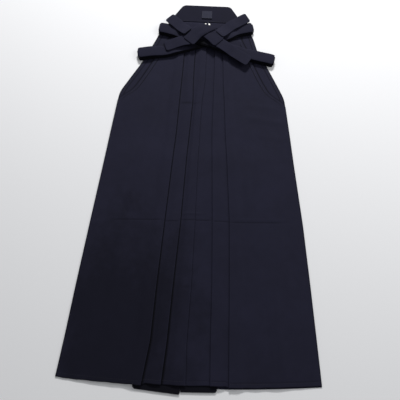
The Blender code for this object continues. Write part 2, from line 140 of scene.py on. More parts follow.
Edges = namedtuple("Edges", "y left right")
BACK_EDGES = tuple(Edges(*row) for row in (
    (0.000, -0.3400, 0.3400),
    (0.100, -0.3290, 0.3310),
    (0.240, -0.3155, 0.3180),
    (0.418, -0.2972, 0.3000),
    (0.600, -0.2780, 0.2765),
    (0.685, -0.2695, 0.2665),
    (0.800, -0.2572, 0.2520),
    (0.817, -0.2540, 0.2485),
    (0.850, -0.2360, 0.2330),
    (0.919, -0.1970, 0.1990),
    (0.978, -0.1700, 0.1665),
    (1.027, -0.1490, 0.1520),
    (1.060, -0.1290, 0.1330),
    (BOARD_BASE_Y - 0.0003, -0.1170, 0.1190),
))
INNER_EDGES = {
    "inner_leg_left": (
        Edges(-0.0330, -0.1360, -0.0230),
        Edges(-0.0270, -0.1420, -0.0200),
        Edges(0.0000, -0.1420, -0.0200),
        Edges(0.2400, -0.1180, -0.0190),
        Edges(0.5750, -0.0900, -0.0170),
    ),
    "inner_leg_right": (
        Edges(-0.0270, -0.0180, 0.0700),
        Edges(-0.0210, -0.0196, 0.0737),
        Edges(0.0000, -0.0196, 0.0737),
        Edges(0.2400, -0.0186, 0.0690),
        Edges(0.5750, -0.0166, 0.0600),
    ),
}

INNER_SLANT = {"inner_leg_left": 0.08, "inner_leg_right": -0.03}

# Each tie's middle line in plan; its heights come from its solid
Tie = namedtuple("Tie", "width layers loose slant points")
TIES = {
    "front_tie_left": Tie(0.034, 6, 0.0016, 0.0, (
        (-0.2115, 0.9470), (-0.1650, 0.9560), (-0.1190, 0.9630), (-0.0600, 0.9830),
        (0.0000, 1.0050), (0.0490, 1.0190), (0.0740, 1.0290), (0.1010, 1.0480), (0.1515, 1.0600),
    )),
    "front_tie_right": Tie(0.034, 6, 0.0016, 0.0, (
        (-0.1510, 1.0460), (-0.1185, 1.0415), (-0.0870, 1.0295), (-0.0450, 1.0140),
        (0.0000, 1.0035), (0.0550, 0.9835), (0.1100, 0.9670), (0.1550, 0.9570), (0.2205, 0.9430),
    )),
    "tie_tail_left": Tie(0.035, 2, 0.0006, 0.0, (
        (-0.0320, 0.9990), (-0.0750, 0.9900), (-0.1260, 0.9725),
    )),
    "tie_tail_right": Tie(0.035, 2, 0.0006, 0.0, (
        (0.0200, 1.0020), (0.0464, 0.9880), (0.0900, 0.9610), (0.1400, 0.9300),
    )),
    "knot_right": Tie(0.0425, 2, 0.0006, 0.0, (
        (-0.0110, 1.0360), (0.0145, 1.0175), (0.0450, 0.9880),
    )),
    "tie_upper_right": Tie(0.035, 2, 0.0006, 0.0, (
        (0.1335, 1.0930), (0.1030, 1.0740), (0.0740, 1.0520), (0.0420, 1.0160),
    )),
    "knot_left": Tie(0.0425, 2, 0.0006, 0.042, (
        (-0.0540, 0.9865), (-0.0270, 1.0195), (0.0050, 1.0420), (0.0125, 1.0460),
    )),
    "tie_upper_left": Tie(0.035, 2, 0.0006, 0.0, (
        (-0.1205, 1.0840), (-0.0880, 1.0530), (-0.0545, 1.0195),
    )),
}

WAISTBAND = Tie(0.024, 1, 0.0, 0.0, ((-0.1110, 1.0010), (0.0, 1.0010), (0.1125, 1.0010)))
STRAP = Tie(0.0072, 1, 0.0, 0.0, ((0.0040, 1.0784), (0.0040, 1.0706), (0.0040, 1.0628)))

# Creases pressed into the front: ends in plan, height (a trough is negative) and half width
Crease = namedtuple("Crease", "x1 y1 x2 y2 height spread")
FOLD_CREASES = tuple(Crease(*row) for row in (
    (-0.235, 0.4125, -0.100, 0.4175, -0.00040, 0.0022),
    (-0.090, 0.4140, -0.050, 0.4150, -0.00045, 0.0022),
    (-0.042, 0.4190, 0.036, 0.4215, -0.00045, 0.0022),
    (0.050, 0.4190, 0.088, 0.4200, -0.00040, 0.0022),
    (0.098, 0.4175, 0.235, 0.4235, -0.00038, 0.0022),
    (0.110, 0.4260, 0.250, 0.4320, 0.00030, 0.0040),
    (-0.040, 0.4380, 0.010, 0.4400, 0.0006, 0.0035),
    (-0.030, 0.3880, 0.040, 0.3900, 0.0005, 0.0040),
    (0.120, 0.8180, 0.185, 0.8200, -0.0010, 0.0050),
    (0.135, 0.7840, 0.225, 0.7800, 0.0009, 0.0060),
    (0.145, 0.7440, 0.245, 0.7340, 0.0014, 0.0060),
    (0.140, 0.7240, 0.235, 0.7080, -0.0014, 0.0065),
    (0.170, 0.6900, 0.245, 0.6760, 0.0008, 0.0070),
    (-0.060, 0.7860, 0.020, 0.7880, -0.0004, 0.0024),
    (-0.080, 0.2340, -0.010, 0.2360, -0.0004, 0.0028),
    (-0.225, 0.3350, -0.250, 0.1250, -0.0016, 0.0110),
    (-0.200, 0.3300, -0.222, 0.1400, 0.0012, 0.0120),
    (-0.180, 0.6200, -0.200, 0.5100, -0.0011, 0.0120),
    (-0.195, 0.5000, -0.175, 0.4400, 0.0010, 0.0050),
    (-0.225, 0.4880, -0.195, 0.4300, -0.0009, 0.0050),
    (-0.285, 0.2900, -0.300, 0.1900, 0.0010, 0.0110),
    (0.195, 0.2050, 0.205, 0.0700, -0.0013, 0.0090),
    (0.225, 0.2200, 0.240, 0.0500, 0.0012, 0.0110),
    (0.140, 0.5600, 0.150, 0.4700, 0.0009, 0.0100),
    (0.255, 0.3900, 0.270, 0.2600, -0.0009, 0.0090),
    (-0.140, 0.8700, -0.160, 0.7600, 0.0009, 0.0110),
    (-0.110, 0.9300, -0.125, 0.8400, -0.0007, 0.0060),
    (0.120, 0.9000, 0.130, 0.8400, -0.0007, 0.0060),
))

# Rows of stitches: the hem's from and to, how far inside a turned edge, and the label's
HEM_STITCHES = (
    (-0.333, -0.125), (-0.120, -0.072), (-0.068, -0.009), (-0.004, 0.049), (0.054, 0.099), (0.105, 0.333),
)
STITCH_IN = 0.002
LABEL_MIDDLE = (0.0012, 1.1055)
LABEL_HALF = (0.0155, 0.013)

# Each light's place, the point it faces and its size; then the camera's
KEY_LIGHT = ((0.05, 2.3, 1.60), (0.0, 0.1, 0.0), (0.55, 0.35))
SIDE_LIGHT = ((1.7, 0.55, 1.4), (0.1, -0.2, 0.0), (1.0, 1.0))
CAMERA_PLACE = (0.0195, 0.1499 - MIDDLE_Y, 1.1689)
CAMERA_TURN = (-2.08, 74.16, 0.61)
CAMERA_LENS = 38.25

pieces = {}


def mixed(low, high, share):
    return low + (high - low) * share


def eased(share):
    share = min(max(share, 0.0), 1.0)
    return share * share * (3 - 2 * share)


def between(rows, y):
    """One row of a table at any y, straight between its rows and on past its ends."""
    after = next((k for k, row in enumerate(rows) if row.y >= y and k), len(rows) - 1)
    low, high = rows[after - 1], rows[after]
    share = (y - low.y) / (high.y - low.y)
    return type(low)(*(mixed(a, b, share) for a, b in zip(low, high)))


def softened(rows, y, reach=0.010):
    """A table's row at y with its corners eased over a short reach."""
    near = [between(rows, y + shift) for shift in (-reach, 0.0, 0.0, reach)]
    return type(near[0])(*(sum(values) / 4 for values in zip(*near)))


def hem_shift(x, y):
    fade = 1 - eased(y / HEM_REACH)
    return fade * (HEM_TILT * x - HEM_BOW * (1 - (x / HALF_HEM) ** 2))


def bed_height(y):
    return mixed(FRONT_HIGH_Z, FRONT_LOW_Z, eased((y - CROTCH_Y) / CROTCH_EASE))


def crease_height(x, y):
    """Height that the creases and the cloth's slackness add to the front, and how sharply pressed."""
    height = pressed = 0.0
    for crease in FOLD_CREASES:
        run = Vector((crease.x2 - crease.x1, crease.y2 - crease.y1))
        away = Vector((x - crease.x1, y - crease.y1))
        along = away.dot(run) / run.length_squared
        if not -0.2 < along < 1.2:
            continue
        off = abs(away.x * run.y - away.y * run.x) / run.length
        ends = eased((along + 0.2) / 0.35) * eased((1.2 - along) / 0.35)
        height += crease.height * edge_line(off, crease.spread) * ends
        if crease.spread < SHARP_SPREAD:
            pressed += edge_line(off, PRESSED_HALF) * ends
    broad = noise.noise(Vector((x * 9, y * 5, 0.3)))
    fine = noise.noise(Vector((x * 28, y * 17, 4.1)))
    return height + broad * 0.0012 + fine * 0.00038, min(pressed, 1.0)


def cloth_grid(columns, rows, place):
    """A sheet from a flat grid; place(column, row) gives each point, how rubbed it is and the shade
    painted on it.

    Returns the mesh in work, its cut's width and length, and its area. The map named cloth
    holds distances along the cloth in metres.
    """
    bm = bmesh.new()
    # Above 0 the mark is a paler rubbed place; below 0 it is shade painted in crevices, along edges and
    # under things.
    wear_and_shade = bm.verts.layers.float.new("wear_and_shade")
    chart = bm.loops.layers.uv.new("cloth")
    bmesh.ops.create_grid(bm, x_segments=columns, y_segments=rows, size=0.5)
    lines = [[None] * (columns + 1) for _ in range(rows + 1)]
    for vert in bm.verts:
        column, row = round((vert.co.x + 0.5) * columns), round((vert.co.y + 0.5) * rows)
        lines[row][column] = vert
        vert.co, vert[wear_and_shade] = place(column, row)
    widths = [sum((b.co - a.co).length for a, b in zip(line, line[1:])) for line in lines]
    runs = [0.0]
    for low, high in zip(lines, lines[1:]):
        runs.append(runs[-1] + (high[columns // 2].co - low[columns // 2].co).length)
    where = {}
    for line, total, run in zip(lines, widths, runs):
        across = -total / 2
        for a, b in zip(line, line[1:] + [None]):
            where[a] = (across, run)
            across += (b.co - a.co).length if b else 0.0
    for face in bm.faces:
        for loop in face.loops:
            loop[chart].uv = where[loop.vert]
    area = sum(face.calc_area() for face in bm.faces)
    return bm, (max(widths), runs[-1]), area


def finish_piece(name, bm, material, replaced=(), wall=0.0, rim=0.0):
    """Turn a mesh in table coordinates into a piece that rides on the body for its solids."""
    bmesh.ops.translate(bm, verts=bm.verts, vec=(0, -MIDDLE_Y, 0))
    mesh = bpy.data.meshes.new(name)
    bm.to_mesh(mesh)
    bm.free()
    mesh.shade_smooth()
    mesh.materials.append(material)
    piece = bpy.data.objects.new(name, mesh)
    bpy.context.scene.collection.objects.link(piece)
    if wall:
        solid = piece.modifiers.new("wall", "SOLIDIFY")
        solid.thickness = wall
        solid.offset = 0
    if rim:
        edge = piece.modifiers.new("rim", "BEVEL")
        edge.width = rim
        edge.segments = 2
        edge.limit_method = "ANGLE"
        edge.angle_limit = math.radians(60)
    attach(piece, "root")
    if replaced:
        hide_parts(*replaced)
    pieces[name] = piece
    return piece


def opening_share(y):
    """How far a height is inside the side opening, from 0 to 1."""
    return eased((y - OPENING_Y) / OPENING_EASE)


def edge_line(distance, half):
    """A soft line from 1 on an edge to nothing beside it."""
    return math.exp(-((distance / half) ** 2))


def hem_lift(inside, wide, height):
    """The step of a turned hem: inside is the distance from the edge."""
    return height * (1 - eased((inside - wide) / HEM_STEP))


def held_above(height, floor):
    """Height kept over a floor, with a soft change between them."""
    return (height + floor + math.hypot(height - floor, 0.0004)) / 2


def cloth_lift(cloth, along, inside, y):
    """The raised hem at a panel's foot and the turned edge of its side opening."""
    foot = hem_lift(along, cloth.hem_width, cloth.hem_rise * 0.3)
    opening = opening_share(y)
    return max(foot, hem_lift(inside, cloth.side_hem_width, cloth.hem_rise) * opening)


# The front: an outer panel and its knife pleats


def walk(points, x, z, steps, rise=False, wear_and_shade=0.0):
    """Carry a cross-section on to a point, straight or with its rise eased."""
    x0, z0, start_wear_and_shade = points[-1]
    for k in range(1, steps + 1):
        share = k / steps
        height = mixed(z0, z, eased(share) if rise else share)
        points.append((mixed(x0, x, share), height, mixed(start_wear_and_shade, wear_and_shade, share)))


def turn(points, x, z, side, painted_shade_depth, steps=6):
    """Carry a cross-section half round (x, z), from above it to below it, rubbed pale on top and with
    shade painted underneath.
    """
    radius = LAYER_STEP / 2
    for k in range(1, steps + 1):
        angle = math.pi * k / steps
        wear_and_shade = mixed(0.7, -painted_shade_depth, eased(1.25 * k / steps - 0.1))
        points.append((x + side * radius * math.sin(angle), z + radius * math.cos(angle), wear_and_shade))


def pleat(points, fold, depth, bed, outward, painted_shade_depth):
    """One knife pleat: up from its foot, over to its fold, and back under itself."""
    top = bed + 2 * LAYER_STEP
    walk(points, depth + outward * RAMP_NEAR, top, 10, rise=True)
    walk(points, fold + outward * 0.0012, top, 8)
    walk(points, fold, top + FOLD_SWELL * 0.3, 2, wear_and_shade=0.5)
    turn(points, fold, top - LAYER_STEP / 2, -outward, painted_shade_depth)
    # The layer under the fold starts with shade painted on it.
    walk(points, fold + outward * 0.004, bed + LAYER_STEP, 2, wear_and_shade=-1.0)
    walk(points, depth, bed + LAYER_STEP, 3)


def leave_fold(points, fold, bed, outward, crevice, painted_shade_depth):
    """Carry a cross-section out from under a fold, with shade painted in the crevice beside it."""
    walk(points, fold + outward * 0.003, bed, 3)
    walk(points, fold - outward * crevice * 0.3, bed, 2, wear_and_shade=-painted_shade_depth)
    walk(points, fold - outward * crevice * 0.7, bed, 2, wear_and_shade=-painted_shade_depth * 0.9)
    walk(points, fold - outward * crevice * 1.5, bed, 2)


def front_section(y, outward):
    """Cross-section of one front from its side edge inwards, as x, z and a mark of rubbing and painted
    shade.

    The mark is above 0 where a fold is rubbed pale, and below 0 where shade is painted in a crevice.
    """
    row = softened(FRONT_SECTIONS, y)
    bed = bed_height(y)
    side = row.left if outward < 0 else row.right
    folds = [row.fold1, row.fold2, row.fold3, row.fold4]
    if outward > 0:
        folds = [row.fold5, row.fold4]
    centre = mixed(row.fold4, row.fold5, CENTRE_DEPTH)
    low = 1 - eased(y / 0.45)
    points = []
    for number, (fold, neighbour) in enumerate(zip(folds, folds[1:])):
        deep = outward < 0 and number < 2
        # How wide and how strong the shade painted in the crevice beside each fold is; the crevice width
        # also places the cross-section's points.
        crevice = CREVICE * mixed(1.5, 2.8, low) if deep else CREVICE * mixed(1.0, 1.2, low)
        painted_shade_depth = 1.0 if deep else 0.6 if outward < 0 else 0.35
        depth = fold - (neighbour - fold) * PLEAT_DEPTH
        foot = depth + outward * (RAMP_NEAR + abs(neighbour - fold) * RAMP_RUN)
        if not points:
            for k in range(OUTER_COLUMNS + 1):
                share = (k / OUTER_COLUMNS) ** 1.6
                sink = mixed(FRONT_LOW_Z, bed, eased(share * 1.3))
                points.append((mixed(side, foot, share), sink, 0.0))
        pleat(points, fold, depth, bed, outward, painted_shade_depth)
        turn(points, depth, bed + LAYER_STEP / 2, outward, 1.0)
        leave_fold(points, fold, bed, outward, crevice, painted_shade_depth)
    if outward < 0:
        # Shade painted in the crevice beside the fourth fold.
        walk(points, row.fold4 - crevice * 1.5, bed, 6)
        walk(points, row.fold4 - crevice * 0.7, bed, 2, wear_and_shade=-0.3)
        walk(points, row.fold4 + 0.003, bed, 2, wear_and_shade=-0.4)
        walk(points, centre, bed, 2)
    else:
        pleat(points, row.fold4, centre, bed, outward, 0.35)
    return points


def cloth_levels(stops):
    """Heights up a panel from its hem, with so many rows to each stop."""
    levels = [0.0]
    for stop, rows in stops:
        start = levels[-1]
        levels += [mixed(start, stop, k / rows) for k in range(1, rows + 1)]
    return levels


def painted_groove_shade(inside, wide):
    """How much shade is painted along the stitched line of a hem; inside is the distance from the edge.
    """
    return edge_line(inside - wide - HEM_STEP / 2, 0.0013)


def front_drop(x, y):
    first = FRONT_SECTIONS[0]
    inside = eased((x - first.fold1) / 0.012) * eased((first.fold5 - x) / 0.012)
    waves = noise.noise(Vector((x * 42, 0.6, 2.2))) * 0.0016 * (1 - eased(y / 0.03))
    return hem_shift(x, y) + STRIP_LIFT * (1 - eased(y / HEM_REACH)) * inside + waves


def make_front(name, outward, cloth, material):
    levels = cloth_levels(FRONT_LEVELS)
    sections = [front_section(y, outward) for y in levels]

    def place(column, row):
        y = levels[row]
        x, z, fold = sections[row][column]
        inside = abs(x - sections[row][0][0])
        crease, pressed = crease_height(x, y)
        z += crease * mixed(0.35, 1.0, eased(inside / 0.03))
        z = held_above(z, FRONT_LOW_Z - 0.0003) + cloth_lift(cloth, y, inside, y)
        opening = opening_share(y)
        # Shade painted as lines: along the hem's stitched line, at the hem's bottom edge, at the front's
        # side edge and the opening's stitched line, and in sharply pressed creases; rubbed folds stay
        # paler.
        foot = painted_groove_shade(y, cloth.hem_width) * 0.35 * eased((x + 0.1) / 0.2)
        edge = mixed(0.45, 0.9, opening) * edge_line(inside, EDGE_HALF)
        rim = 0.7 * edge_line(y, 0.0018)
        side_hem = painted_groove_shade(inside, cloth.side_hem_width) * 0.8 * opening
        painted_line_shade = max(foot, rim, side_hem, edge, pressed * 0.5)
        return (x, y + front_drop(x, y), z), fold if fold > 0.1 else min(fold, -painted_line_shade)

    bm, flat, area = cloth_grid(len(sections[0]) - 1, len(levels) - 1, place)
    piece = finish_piece(name + "_cloth", bm, material, (name,), wall=cloth.wall)


# The back: two flat panels that lie on the floor


def pulled_height(x, y):
    height = 0.0
    for x0, x1, y0 in PULLED_LINES:
        ends = eased((x - x0) / 0.006) * eased((x1 - x) / 0.006)
        height += 0.0005 * edge_line(y - y0, 0.0016) * ends
    return height


def back_edge(y, outward):
    edges = softened(BACK_EDGES, y) if y < BACK_EDGES[-1].y else BACK_EDGES[-1]
    return edges.left if outward < 0 else edges.right


def make_back(name, outward, cloth, material):
    levels = cloth_levels(BACK_LEVELS)
    sides = [back_edge(y, outward) for y in levels]

    def place(column, row):
        y = levels[row]
        x = mixed(sides[row], outward * SEAM_HALF, (column / BACK_COLUMNS) ** 1.6)
        peek = BACK_PEEK * (1 - eased(y / HEM_REACH)) * eased(x / 0.1)
        inside = abs(x - sides[row])
        opening = opening_share(y)
        front = softened(FRONT_SECTIONS, y) if y < FRONT_TOP_Y else FRONT_SECTIONS[-1]
        past_front = abs(x - (front.left if outward < 0 else front.right))
        # Painted shadow beside the front's edge, and shade painted along the opening's edge and its
        # stitched line.
        shaded = edge_line(past_front, 0.0026) * opening
        edge = 0.9 * edge_line(inside, EDGE_HALF) * opening
        painted_line_shade = max(shaded, edge, 0.8 * painted_groove_shade(inside, cloth.side_hem_width) * opening)
        return (x, y + hem_shift(x, y) - peek, 0.0), -painted_line_shade

    bm, flat, area = cloth_grid(BACK_COLUMNS, len(levels) - 1, place)
    raised = bmesh.ops.extrude_face_region(bm, geom=list(bm.faces))["geom"]
    for vert in (item for item in raised if isinstance(item, bmesh.types.BMVert)):
        x, y = vert.co.x, vert.co.y
        inside = abs(x - back_edge(y, outward))
        seam = hem_lift(abs(x), 0.004, cloth.hem_rise * 0.6)
        lift = max(cloth_lift(cloth, y - hem_shift(x, y), inside, y), seam)
        slack = noise.noise(Vector((x * 30, y * 60, 1.7))) * 0.00012
        vert.co.z = cloth.wall + lift + slack + pulled_height(x, y)
    bmesh.ops.recalc_face_normals(bm, faces=bm.faces)
    piece = finish_piece(name + "_cloth", bm, material, (name,))


# Bands: the ties, the cloth between the legs, the waistband and the strap

Station = namedtuple("Station", "centre side half bottom top run")


def smooth_line(points, spacing):
    """Points every spacing on a smooth curve through a tie's own points, and its length."""
    knots = [Vector(point) for point in points]
    knots = [2 * knots[0] - knots[1]] + knots + [2 * knots[-1] - knots[-2]]
    dense = []
    for a, b, c, d in zip(knots, knots[1:], knots[2:], knots[3:]):
        for step in range(24):
            t = step / 24
            bend = 2 * a - 5 * b + 4 * c - d
            twist = 3 * b - a - 3 * c + d
            dense.append(0.5 * (2 * b + (c - a) * t + bend * t * t + twist * t ** 3))
    dense.append(knots[-2])
    runs = [0.0]
    for a, b in zip(dense, dense[1:]):
        runs.append(runs[-1] + (b - a).length)
    count = max(round(runs[-1] / spacing), 4)
    line, at = [], 0
    for k in range(count + 1):
        mark = runs[-1] * k / count
        while at < len(runs) - 2 and runs[at + 1] < mark:
            at += 1
        share = (mark - runs[at]) / (runs[at + 1] - runs[at])
        line.append(dense[at].lerp(dense[at + 1], share))
    return line, runs[-1]


def solid_tree(node):
    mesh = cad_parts[node].data
    spots = [vert.co for vert in mesh.vertices]
    return BVHTree.FromPolygons(spots, [face.vertices for face in mesh.polygons])


def solid_span(tree, spot):
    """Bottom and top of a solid over a point in table coordinates."""
    x, y = spot.x, spot.y - MIDDLE_Y
    low = tree.ray_cast(Vector((x, y, -1)), Vector((0, 0, 1)))[0]
    high = tree.ray_cast(Vector((x, y, 1)), Vector((0, 0, -1)))[0]
    return (low.z, high.z) if low and high else None


def tie_course(node, tie, spacing=STATION_STEP):
    """The stations of a tie along its solid."""
    line, total = smooth_line(tie.points, spacing)
    tree = solid_tree(node)
    spans = [solid_span(tree, spot) for spot in line]
    met = [span for span in spans if span]
    spans = [span or (met[0] if k < len(spans) / 2 else met[-1]) for k, span in enumerate(spans)]
    stations, run = [], 0.0
    for k, spot in enumerate(line):
        before, after = line[max(k - 1, 0)], line[min(k + 1, len(line) - 1)]
        along = (after - before).normalized()
        side = Vector((-along.y, along.x))
        run += (spot - line[k - 1]).length if k else 0.0
        lead = tie.slant / 2 * eased(1 - (total - run) / tie.width)
        corner = BUNDLE_CORNER if tie.layers > 2 else TIE_CORNER
        end = max(min(run, total - run), 0.0) / (tie.width * corner)
        shave = corner * 0.7 * (1 - math.sqrt(1 - (1 - end) ** 2)) if end < 1 else 0.0
        half = tie.width * (0.5 - shave)
        near = spans[max(k - 1, 0):k + 2]
        bottom = sum(span[0] for span in near) / len(near)
        top = sum(span[1] for span in near) / len(near)
        stations.append(Station(spot, side * half - along * lead, half, bottom, top, run))
    return stations


def inner_course(node):
    """The stations of the folded cloth between the legs, closer together near the hem."""
    rows = INNER_EDGES[node]
    low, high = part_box(node)
    stations, count = [], 70
    for k in range(count + 1):
        y = mixed(rows[0].y, rows[-1].y, (k / count) ** 1.6)
        edges = between(rows, y)
        half = (edges.right - edges.left) / 2
        centre = Vector(((edges.left + edges.right) / 2, y))
        slant = INNER_SLANT[node] * (1 - eased(k / count * 4))
        centre.y += abs(slant) * half
        side = Vector((-half, half * slant))
        stations.append(Station(centre, side, half, low.z, high.z, y - rows[0].y))
    return stations


def uneven(name, layer, end):
    """A steady share from 0 to 1 for one end of one layer."""
    return (math.sin(len(name) * 12.9 + layer * 78.2 + end * 3.7) * 43.7) % 1.0


def folded_path(last, layers):
    """Rows of a band that runs back and forth: station, height in layers, run out, layer."""
    rows = []
    for layer in range(layers):
        order = range(last + 1) if layer % 2 == 0 else range(last, -1, -1)
        rows += [(k, layer + 0.5, 0.0, layer) for k in order]
        if layer < layers - 1:
            end = last if layer % 2 == 0 else 0
            for step in range(1, 6):
                angle = math.pi * step / 6
                rows.append((end, layer + 1 - math.cos(angle) / 2, math.sin(angle), layer))
    return rows


def make_band(name, stations, layers, loose, wall, material):
    """A flat band laid in layers between its solid's bottom and top, with round turns."""
    last = len(stations) - 1
    path = folded_path(last, layers)
    ends = {0: stations[0].centre - stations[1].centre}
    ends[last] = stations[last].centre - stations[last - 1].centre

    def place(column, row):
        k, level, past, layer = path[row]
        station = stations[k]
        pitch = (station.top - station.bottom) / layers
        across = 1 - 2 * column / BAND_COLUMNS
        spot = station.centre + station.side * across * (1 - wall * 0.25 / station.half)
        if k in ends:
            pull = pitch / 2 + wall / 2 + loose * uneven(name, layer, k)
            spot = spot - ends[k].normalized() * (pull - past * pitch / 2)
        if layers > 1:
            shift = loose * 0.6 * (uneven(name, layer, 7) - 0.5)
            shift -= BUNDLE_LEAN * (layers - 1 - layer) if layers > 2 else 0.0
            spot = spot + station.side.normalized() * shift
        slack = noise.noise(Vector((station.run * 26, across * 1.1, len(name) * 1.7)))
        droop = 0.45 * across ** 4 if layer == layers - 1 and layers > 2 else 0.18 * across ** 6
        height = station.bottom + pitch * (level - droop) + slack * 0.00022
        if name.startswith("knot"):
            ends_in = math.sin(math.pi * min(max(k / last, 0.0), 1.0))
            ruffle = noise.noise(Vector((station.run * 55, across * 1.8, len(name) * 3.1)))
            height += (KNOT_SWELL * (1 - across ** 4) + ruffle * 0.0007) * ends_in
        # Rubbed paler edges on the top layer; shade painted on the lower layers' edges and turns, and on
        # the bundles where the knot presses them down.
        rubbed = max(abs(across) ** 12, past) * 0.4
        wear_and_shade = rubbed if layer == layers - 1 else -max(abs(across) ** 3, past)
        if layers > 2:
            near = 1 - eased(abs(spot.x - PRESSED_DOWN[0]) / PRESSED_DOWN[1])
            pressed = near * eased((0.5 - across) / 1.1)
            height -= (height - station.bottom) * pressed * PRESSED_DOWN[2]
            wear_and_shade = mixed(wear_and_shade, -1.0, pressed)
        return (spot.x, spot.y, height), wear_and_shade

    bm, flat, area = cloth_grid(BAND_COLUMNS, len(path) - 1, place)
    piece = finish_piece(name + "_cloth", bm, material, (name,), wall=wall, rim=wall * 0.3)
    held = "folded" if layers > 1 else "laid"
    return piece


# The stiff board, its label and the spatula


def plate(corners, bottom, thick, radius, rim, swells=()):
    """A plate in table coordinates with round corners, soft rims and a top that swells.

    Each swell is how far in the next ring lies and how much higher.
    """
    bm = bmesh.new()
    wear_and_shade = bm.verts.layers.float.new("wear_and_shade")
    chart = bm.loops.layers.uv.new("cloth")
    face = bm.faces.new([bm.verts.new((x, y, bottom)) for x, y in corners])
    bmesh.ops.bevel(
        bm, geom=list(bm.verts), offset=radius, offset_type="OFFSET", segments=7, profile=0.5,
        affect="VERTICES", material=-1, clamp_overlap=True,
    )
    face = next(iter(bm.faces))
    raised = bmesh.ops.extrude_face_region(bm, geom=[face])["geom"]
    tops = [item for item in raised if isinstance(item, bmesh.types.BMVert)]
    bmesh.ops.translate(bm, verts=tops, vec=(0, 0, thick))
    bmesh.ops.recalc_face_normals(bm, faces=bm.faces)
    lid = max(bm.faces, key=lambda item: item.calc_center_median().z)
    for vert in lid.verts:
        vert[wear_and_shade] = 0.7
    bmesh.ops.bevel(
        bm, geom=list(lid.edges), offset=rim, offset_type="OFFSET", segments=3, profile=0.5,
        affect="EDGES", material=-1, clamp_overlap=True,
    )
    for reach, lift in swells:
        lid = max(bm.faces, key=lambda item: item.calc_center_median().z)
        bmesh.ops.inset_region(bm, faces=[lid], thickness=reach, depth=lift, use_even_offset=True)
        for vert in lid.verts:
            vert[wear_and_shade] = 0.0
    for face in bm.faces:
        for loop in face.loops:
            loop[chart].uv = loop.vert.co.xy
    return bm


def box_corners(node, inset_x=0.0, inset_y=0.0):
    low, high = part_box(node)
    left, right = low.x + inset_x, high.x - inset_x
    base, top = low.y + MIDDLE_Y + inset_y, high.y + MIDDLE_Y - inset_y
    return [(left, base), (right, base), (right, top), (left, top)]


# Stitches


def ground_tree(names):
    depsgraph = bpy.context.evaluated_depsgraph_get()
    return [BVHTree.FromObject(pieces[name], depsgraph) for name in names]


def stitch_line(bm, trees, points, length, gap, thick):
    """Lay one row of stitches on the pieces under a line, in table coordinates."""
    line = smooth_line(points, (length + gap) / 2)[0]
    for k in range(1, len(line) - 1, 2):
        spot = line[k]
        hits = []
        for near in (line[k - 1], spot, line[k + 1]):
            start = Vector((near.x, near.y - MIDDLE_Y, 1))
            found = [tree.ray_cast(start, Vector((0, 0, -1)))[0] for tree in trees]
            tops = [hit.z for hit in found if hit]
            hits.append(max(tops) if tops else None)
        if None in hits:
            continue
        ahead = line[k + 1] - line[k - 1]
        slope = math.atan2(hits[2] - hits[0], ahead.length)
        turned = Matrix.Rotation(math.atan2(ahead.y, ahead.x), 4, "Z")
        turned = turned @ Matrix.Rotation(-slope, 4, "Y")
        place = Matrix.Translation((spot.x, spot.y, hits[1] + thick * 0.1))
        shape = Matrix.Diagonal((length / 2, thick, thick * 0.6, 1))
        whole = place @ turned @ shape
        bmesh.ops.create_uvsphere(bm, u_segments=6, v_segments=4, radius=1, matrix=whole)


# Materials


class Value:
    """A shader socket that takes part in sums."""

    def __init__(self, paint, socket):
        self.paint = paint
        self.socket = socket

    def sum_with(self, operation, *others):
        return self.paint.value("ShaderNodeMath", {"operation": operation}, self, *others)

    def __add__(self, other):
        return self.sum_with("ADD", other)

    def __mul__(self, other):
        return self.sum_with("MULTIPLY", other)

    def __sub__(self, other):
        return self.sum_with("SUBTRACT", other)

    def __truediv__(self, other):
        return self.sum_with("DIVIDE", other)

    def __pow__(self, other):
        return self.sum_with("POWER", other)

    def sine(self):
        return self.sum_with("SINE")

    def clamped(self):
        return self.sum_with("MAXIMUM", 0.0).sum_with("MINIMUM", 1.0)


class Paint:
    """One material and the means to add its nodes."""

    def __init__(self, name):
        self.material = bpy.data.materials.new(name)
        self.material.use_nodes = True
        self.tree = self.material.node_tree
        self.shader = self.tree.nodes["Principled BSDF"]

    def node(self, kind, settings, *inputs, **named):
        node = self.tree.nodes.new(kind)
        for key, setting in settings.items():
            setattr(node, key, setting)
        for key, given in list(enumerate(inputs)) + list(named.items()):
            self.feed(node.inputs[key.replace("_", " ") if isinstance(key, str) else key], given)
        return node

    def value(self, kind, settings, *inputs, **named):
        return Value(self, self.node(kind, settings, *inputs, **named).outputs[0])

    def place(self):
        return Value(self, self.node("ShaderNodeTexCoord", {}).outputs["Object"])

    def noise(self, place, scale, detail, rough=0.5):
        inputs = {"Scale": scale, "Detail": detail, "Roughness": rough}
        return self.value("ShaderNodeTexNoise", {}, place, **inputs)

    def feed(self, socket, given):
        if isinstance(given, Value):
            self.tree.links.new(given.socket, socket)
        else:
            socket.default_value = given

    def set(self, name, given):
        self.feed(self.shader.inputs[name], given)

    def blend(self, share, low, high):
        node = self.node("ShaderNodeMix", {"data_type": "RGBA"})
        for socket, given in zip((node.inputs[0], node.inputs[6], node.inputs[7]), (share, low, high)):
            self.feed(socket, given)
        return Value(self, node.outputs[2])


def shade(colour, share):
    return tuple(part * share for part in colour[:3]) + (1.0,)


